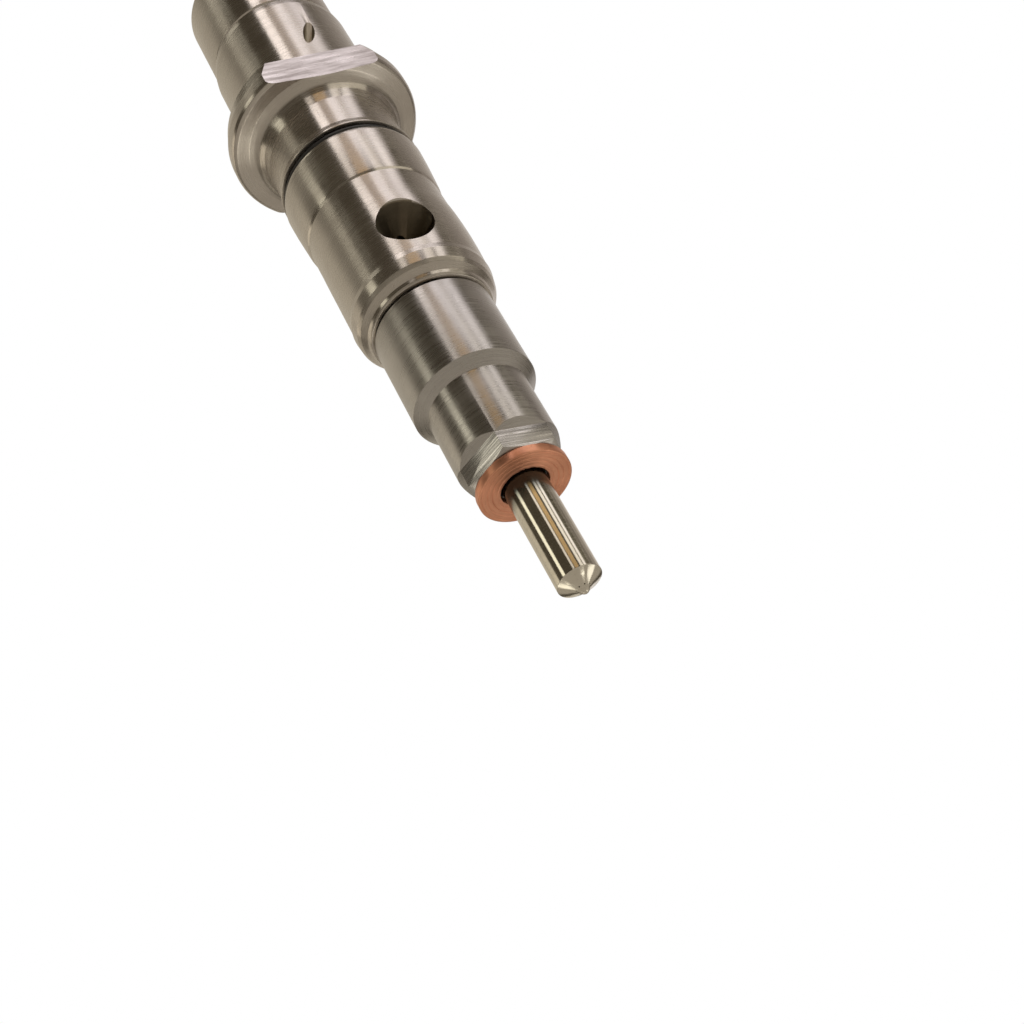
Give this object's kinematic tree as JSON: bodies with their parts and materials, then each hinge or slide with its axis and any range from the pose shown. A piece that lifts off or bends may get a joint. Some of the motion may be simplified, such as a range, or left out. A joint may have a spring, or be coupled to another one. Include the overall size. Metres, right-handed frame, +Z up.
{
  "type": "fuel injector",
  "caption": "Electrically controlled diesel fuel injector: nozzle with needle, retaining nut, stepped body with side inlet and clamp collar, control valve, solenoid and stud terminals.",
  "frame": {"origin": "centre of the sealing washer's lower face, where the injector seats in the cylinder head", "axes": "+Z up the injector axis from the nozzle to the terminals; the fuel inlet faces -Y; the terminals lie along X"},
  "size_m": [0.0346, 0.028, 0.176],
  "materials": {
    "turned_steel": "turned and polished, warm grey",
    "brushed_nut_steel": "turned, fine brushed grey",
    "ground_nozzle_steel": "ground bright steel",
    "washer_copper": "soft turned copper",
    "hardened_steel": "hardened and ground",
    "spring_steel": "drawn spring wire, dark",
    "seal_rubber": "matt black",
    "core_iron": "sintered soft-magnetic iron",
    "coil_copper": "enamelled copper wire",
    "bobbin_plastic": "natural glass-filled plastic",
    "cap_plastic": "moulded black plastic",
    "terminal_brass": "threaded brass",
    "zinc_plated_steel": "zinc plated"
  },
  "bodies": {
    "injector": {"nozzle_body": "ground_nozzle_steel", "locating_pin_1": "hardened_steel", "locating_pin_2": "hardened_steel", "sealing_washer": "washer_copper", "nozzle_retaining_nut": "brushed_nut_steel", "injector_body": "turned_steel", "body_seal_ring": "seal_rubber", "nozzle_spring": "spring_steel", "spring_shim": "hardened_steel", "valve_piece": "hardened_steel", "valve_seal_ring": "hardened_steel", "armature_guide": "hardened_steel", "valve_clamping_screw": "brushed_nut_steel", "armature_spring": "spring_steel", "magnet_core": "core_iron", "coil_bobbin": "bobbin_plastic", "coil_winding": "coil_copper", "valve_spring": "spring_steel", "valve_spring_shim": "hardened_steel", "magnet_housing": "brushed_nut_steel", "lift_shim": "hardened_steel", "solenoid_seal_ring": "seal_rubber", "solenoid_retaining_nut": "turned_steel", "terminal_cap": "cap_plastic", "terminal_stud_1": "terminal_brass", "terminal_stud_2": "terminal_brass", "terminal_washer_1": "zinc_plated_steel", "terminal_washer_2": "zinc_plated_steel", "terminal_nut_1": "zinc_plated_steel", "terminal_nut_2": "zinc_plated_steel"},
    "needle": {"needle_valve": "hardened_steel", "spring_seat": "hardened_steel"},
    "piston": {"control_piston": "hardened_steel"},
    "armature": {"armature_pin": "hardened_steel", "armature_clip": "spring_steel"},
    "plate": {"armature_plate": "core_iron"},
    "ball": {"valve_ball": "hardened_steel", "ball_holder": "hardened_steel"}
  },
  "joints": [
    {"name": "needle_lift", "type": "slide", "parent": "injector", "child": "needle", "axis": [0, 0, 1], "range_m": [0, 0.00025], "stiffness_N_per_m": 1000, "springref_m": -0.002, "deforming": ["nozzle_spring"]},
    {"name": "piston_lift", "type": "slide", "parent": "injector", "child": "piston", "axis": [0, 0, 1], "range_m": [0, 0.00025]},
    {"name": "armature_lift", "type": "slide", "parent": "injector", "child": "armature", "axis": [0, 0, 1], "range_m": [0, 0.00005], "stiffness_N_per_m": 1000, "springref_m": -0.001, "deforming": ["valve_spring"]},
    {"name": "ball_lift", "type": "slide", "parent": "injector", "child": "ball", "axis": [0, 0, 1], "range_m": [0, 0.00005]},
    {"name": "plate_overtravel", "type": "slide", "parent": "armature", "child": "plate", "axis": [0, 0, -1], "range_m": [0, 0.00005], "stiffness_N_per_m": 500, "springref_m": -0.0005, "deforming": ["armature_spring"]}
  ],
  "couplings": [
    {"joint": "piston_lift", "follows": "needle_lift", "ratio": 1},
    {"joint": "ball_lift", "follows": "armature_lift", "ratio": 1}
  ]
}
